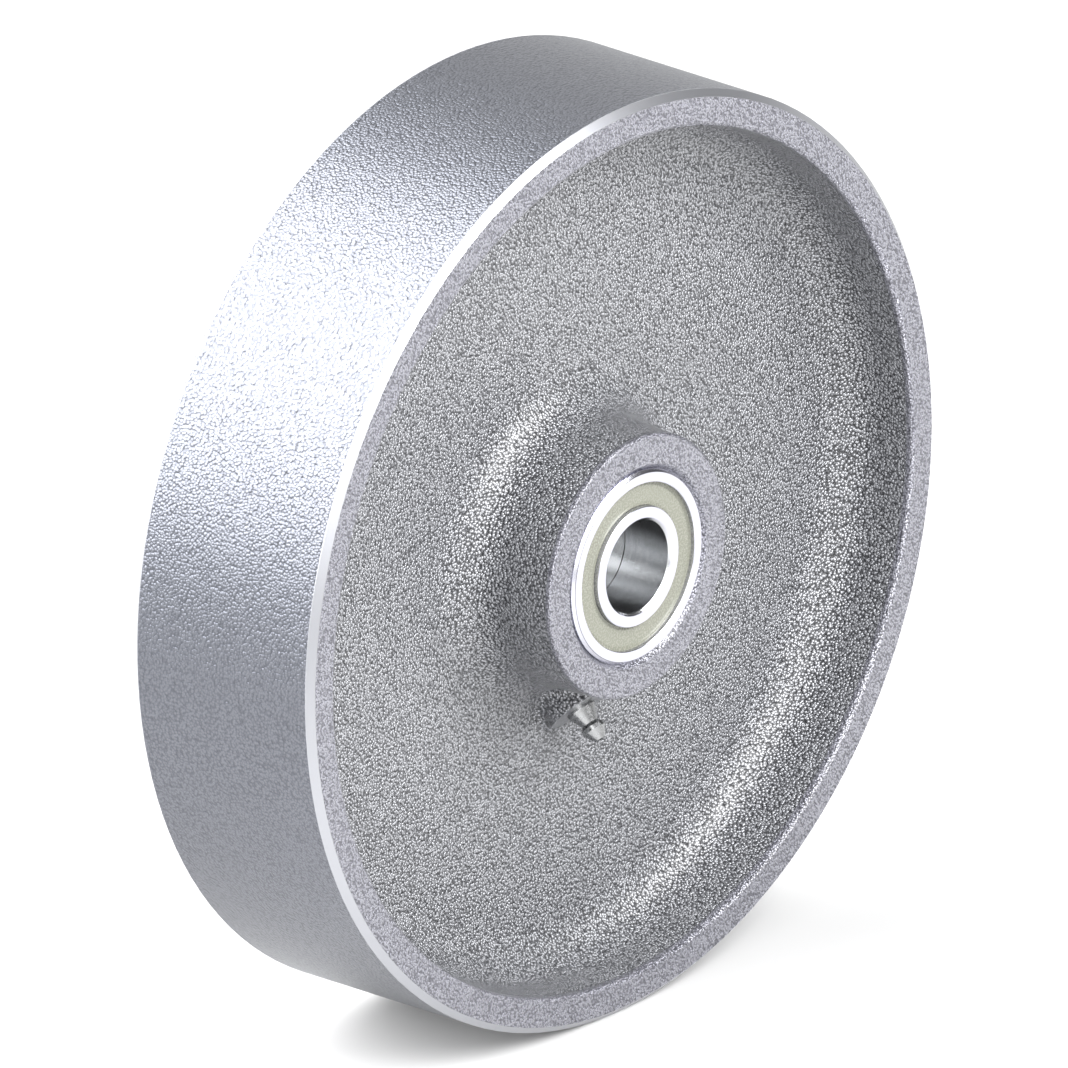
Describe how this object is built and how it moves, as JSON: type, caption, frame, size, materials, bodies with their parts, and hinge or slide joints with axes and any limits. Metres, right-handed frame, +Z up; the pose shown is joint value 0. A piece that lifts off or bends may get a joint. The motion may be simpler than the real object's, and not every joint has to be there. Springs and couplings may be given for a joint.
{
  "type": "heavy-duty castor wheel",
  "caption": "Cast-iron castor wheel with a plain tread, a solid web, a hub on two sealed ball bearings with a spacer tube, and a grease nipple on a slanted boss.",
  "frame": {"origin": "the wheel's centre, on the axle's axis midway between the two clamp faces", "axes": "+Y along the axle's axis, away from the side with the grease nipple; +Z up, with the nipple straight below the hub"},
  "size_m": [0.25, 0.07, 0.25],
  "materials": {
    "silver_paint": "grey iron as cast, with its grain, under silver paint",
    "ground_steel": "ground and polished bearing steel",
    "turned_steel": "turned and honed tube",
    "seal_rubber": "moulded, matt beige-grey",
    "pressed_steel": "pressed steel sheet",
    "polished_steel": "lapped and polished",
    "zinc_plated_steel": "turned steel, zinc plated",
    "spring_steel": "drawn spring wire"
  },
  "bodies": {
    "axle_set": {"front_inner_ring": "ground_steel", "rear_inner_ring": "ground_steel", "spacer_tube": "turned_steel"},
    "wheel": {"wheel_casting": "silver_paint", "front_outer_ring": "ground_steel", "rear_outer_ring": "ground_steel", "front_seal": "seal_rubber", "rear_seal": "seal_rubber", "grease_nipple": "zinc_plated_steel", "nipple_spring": "spring_steel"},
    "nipple_valve": {"nipple_ball": "polished_steel"},
    "front_cage": {"front_cage_outer": "pressed_steel", "front_cage_inner": "pressed_steel", "front_cage_rivets": "pressed_steel"},
    "front_rolling_ball_1": {"front_ball_1": "polished_steel"},
    "front_rolling_ball_2": {"front_ball_2": "polished_steel"},
    "front_rolling_ball_3": {"front_ball_3": "polished_steel"},
    "front_rolling_ball_4": {"front_ball_4": "polished_steel"},
    "front_rolling_ball_5": {"front_ball_5": "polished_steel"},
    "front_rolling_ball_6": {"front_ball_6": "polished_steel"},
    "front_rolling_ball_7": {"front_ball_7": "polished_steel"},
    "front_rolling_ball_8": {"front_ball_8": "polished_steel"},
    "front_rolling_ball_9": {"front_ball_9": "polished_steel"},
    "rear_cage": {"rear_cage_outer": "pressed_steel", "rear_cage_inner": "pressed_steel", "rear_cage_rivets": "pressed_steel"},
    "rear_rolling_ball_1": {"rear_ball_1": "polished_steel"},
    "rear_rolling_ball_2": {"rear_ball_2": "polished_steel"},
    "rear_rolling_ball_3": {"rear_ball_3": "polished_steel"},
    "rear_rolling_ball_4": {"rear_ball_4": "polished_steel"},
    "rear_rolling_ball_5": {"rear_ball_5": "polished_steel"},
    "rear_rolling_ball_6": {"rear_ball_6": "polished_steel"},
    "rear_rolling_ball_7": {"rear_ball_7": "polished_steel"},
    "rear_rolling_ball_8": {"rear_ball_8": "polished_steel"},
    "rear_rolling_ball_9": {"rear_ball_9": "polished_steel"}
  },
  "joints": [
    {"name": "wheel_spin", "type": "hinge", "parent": "axle_set", "child": "wheel", "pos_m": [0, 0, 0], "axis": [0, 1, 0], "continuous": true},
    {"name": "nipple_valve_travel", "type": "slide", "parent": "wheel", "child": "nipple_valve", "axis": [0, 0.7071, 0.7071], "range_m": [0, 0.0006], "stiffness_N_per_m": 300, "springref_m": -0.002, "deforming": ["nipple_spring"]},
    {"name": "front_cage_orbit", "type": "hinge", "parent": "axle_set", "child": "front_cage", "pos_m": [0, 0, 0], "axis": [0, 1, 0], "continuous": true},
    {"name": "front_ball_1_roll", "type": "hinge", "parent": "front_cage", "child": "front_rolling_ball_1", "pos_m": [0, -0.0275, 0.01925], "axis": [0, 1, 0], "continuous": true},
    {"name": "front_ball_2_roll", "type": "hinge", "parent": "front_cage", "child": "front_rolling_ball_2", "pos_m": [-0.01237, -0.0275, 0.01475], "axis": [0, 1, 0], "continuous": true},
    {"name": "front_ball_3_roll", "type": "hinge", "parent": "front_cage", "child": "front_rolling_ball_3", "pos_m": [-0.01896, -0.0275, 0.00334], "axis": [0, 1, 0], "continuous": true},
    {"name": "front_ball_4_roll", "type": "hinge", "parent": "front_cage", "child": "front_rolling_ball_4", "pos_m": [-0.01667, -0.0275, -0.00962], "axis": [0, 1, 0], "continuous": true},
    {"name": "front_ball_5_roll", "type": "hinge", "parent": "front_cage", "child": "front_rolling_ball_5", "pos_m": [-0.00658, -0.0275, -0.01809], "axis": [0, 1, 0], "continuous": true},
    {"name": "front_ball_6_roll", "type": "hinge", "parent": "front_cage", "child": "front_rolling_ball_6", "pos_m": [0.00658, -0.0275, -0.01809], "axis": [0, 1, 0], "continuous": true},
    {"name": "front_ball_7_roll", "type": "hinge", "parent": "front_cage", "child": "front_rolling_ball_7", "pos_m": [0.01667, -0.0275, -0.00962], "axis": [0, 1, 0], "continuous": true},
    {"name": "front_ball_8_roll", "type": "hinge", "parent": "front_cage", "child": "front_rolling_ball_8", "pos_m": [0.01896, -0.0275, 0.00334], "axis": [0, 1, 0], "continuous": true},
    {"name": "front_ball_9_roll", "type": "hinge", "parent": "front_cage", "child": "front_rolling_ball_9", "pos_m": [0.01237, -0.0275, 0.01475], "axis": [0, 1, 0], "continuous": true},
    {"name": "rear_cage_orbit", "type": "hinge", "parent": "axle_set", "child": "rear_cage", "pos_m": [0, 0, 0], "axis": [0, 1, 0], "continuous": true},
    {"name": "rear_ball_1_roll", "type": "hinge", "parent": "rear_cage", "child": "rear_rolling_ball_1", "pos_m": [0, 0.0275, 0.01925], "axis": [0, 1, 0], "continuous": true},
    {"name": "rear_ball_2_roll", "type": "hinge", "parent": "rear_cage", "child": "rear_rolling_ball_2", "pos_m": [0.01237, 0.0275, 0.01475], "axis": [0, 1, 0], "continuous": true},
    {"name": "rear_ball_3_roll", "type": "hinge", "parent": "rear_cage", "child": "rear_rolling_ball_3", "pos_m": [0.01896, 0.0275, 0.00334], "axis": [0, 1, 0], "continuous": true},
    {"name": "rear_ball_4_roll", "type": "hinge", "parent": "rear_cage", "child": "rear_rolling_ball_4", "pos_m": [0.01667, 0.0275, -0.00962], "axis": [0, 1, 0], "continuous": true},
    {"name": "rear_ball_5_roll", "type": "hinge", "parent": "rear_cage", "child": "rear_rolling_ball_5", "pos_m": [0.00658, 0.0275, -0.01809], "axis": [0, 1, 0], "continuous": true},
    {"name": "rear_ball_6_roll", "type": "hinge", "parent": "rear_cage", "child": "rear_rolling_ball_6", "pos_m": [-0.00658, 0.0275, -0.01809], "axis": [0, 1, 0], "continuous": true},
    {"name": "rear_ball_7_roll", "type": "hinge", "parent": "rear_cage", "child": "rear_rolling_ball_7", "pos_m": [-0.01667, 0.0275, -0.00962], "axis": [0, 1, 0], "continuous": true},
    {"name": "rear_ball_8_roll", "type": "hinge", "parent": "rear_cage", "child": "rear_rolling_ball_8", "pos_m": [-0.01896, 0.0275, 0.00334], "axis": [0, 1, 0], "continuous": true},
    {"name": "rear_ball_9_roll", "type": "hinge", "parent": "rear_cage", "child": "rear_rolling_ball_9", "pos_m": [-0.01237, 0.0275, 0.01475], "axis": [0, 1, 0], "continuous": true}
  ],
  "couplings": [
    {"joint": "front_cage_orbit", "follows": "wheel_spin", "ratio": 0.60309},
    {"joint": "front_ball_1_roll", "follows": "wheel_spin", "ratio": 2.322},
    {"joint": "front_ball_2_roll", "follows": "wheel_spin", "ratio": 2.322},
    {"joint": "front_ball_3_roll", "follows": "wheel_spin", "ratio": 2.322},
    {"joint": "front_ball_4_roll", "follows": "wheel_spin", "ratio": 2.322},
    {"joint": "front_ball_5_roll", "follows": "wheel_spin", "ratio": 2.322},
    {"joint": "front_ball_6_roll", "follows": "wheel_spin", "ratio": 2.322},
    {"joint": "front_ball_7_roll", "follows": "wheel_spin", "ratio": 2.322},
    {"joint": "front_ball_8_roll", "follows": "wheel_spin", "ratio": 2.322},
    {"joint": "front_ball_9_roll", "follows": "wheel_spin", "ratio": 2.322},
    {"joint": "rear_cage_orbit", "follows": "wheel_spin", "ratio": 0.60309},
    {"joint": "rear_ball_1_roll", "follows": "wheel_spin", "ratio": 2.322},
    {"joint": "rear_ball_2_roll", "follows": "wheel_spin", "ratio": 2.322},
    {"joint": "rear_ball_3_roll", "follows": "wheel_spin", "ratio": 2.322},
    {"joint": "rear_ball_4_roll", "follows": "wheel_spin", "ratio": 2.322},
    {"joint": "rear_ball_5_roll", "follows": "wheel_spin", "ratio": 2.322},
    {"joint": "rear_ball_6_roll", "follows": "wheel_spin", "ratio": 2.322},
    {"joint": "rear_ball_7_roll", "follows": "wheel_spin", "ratio": 2.322},
    {"joint": "rear_ball_8_roll", "follows": "wheel_spin", "ratio": 2.322},
    {"joint": "rear_ball_9_roll", "follows": "wheel_spin", "ratio": 2.322}
  ]
}
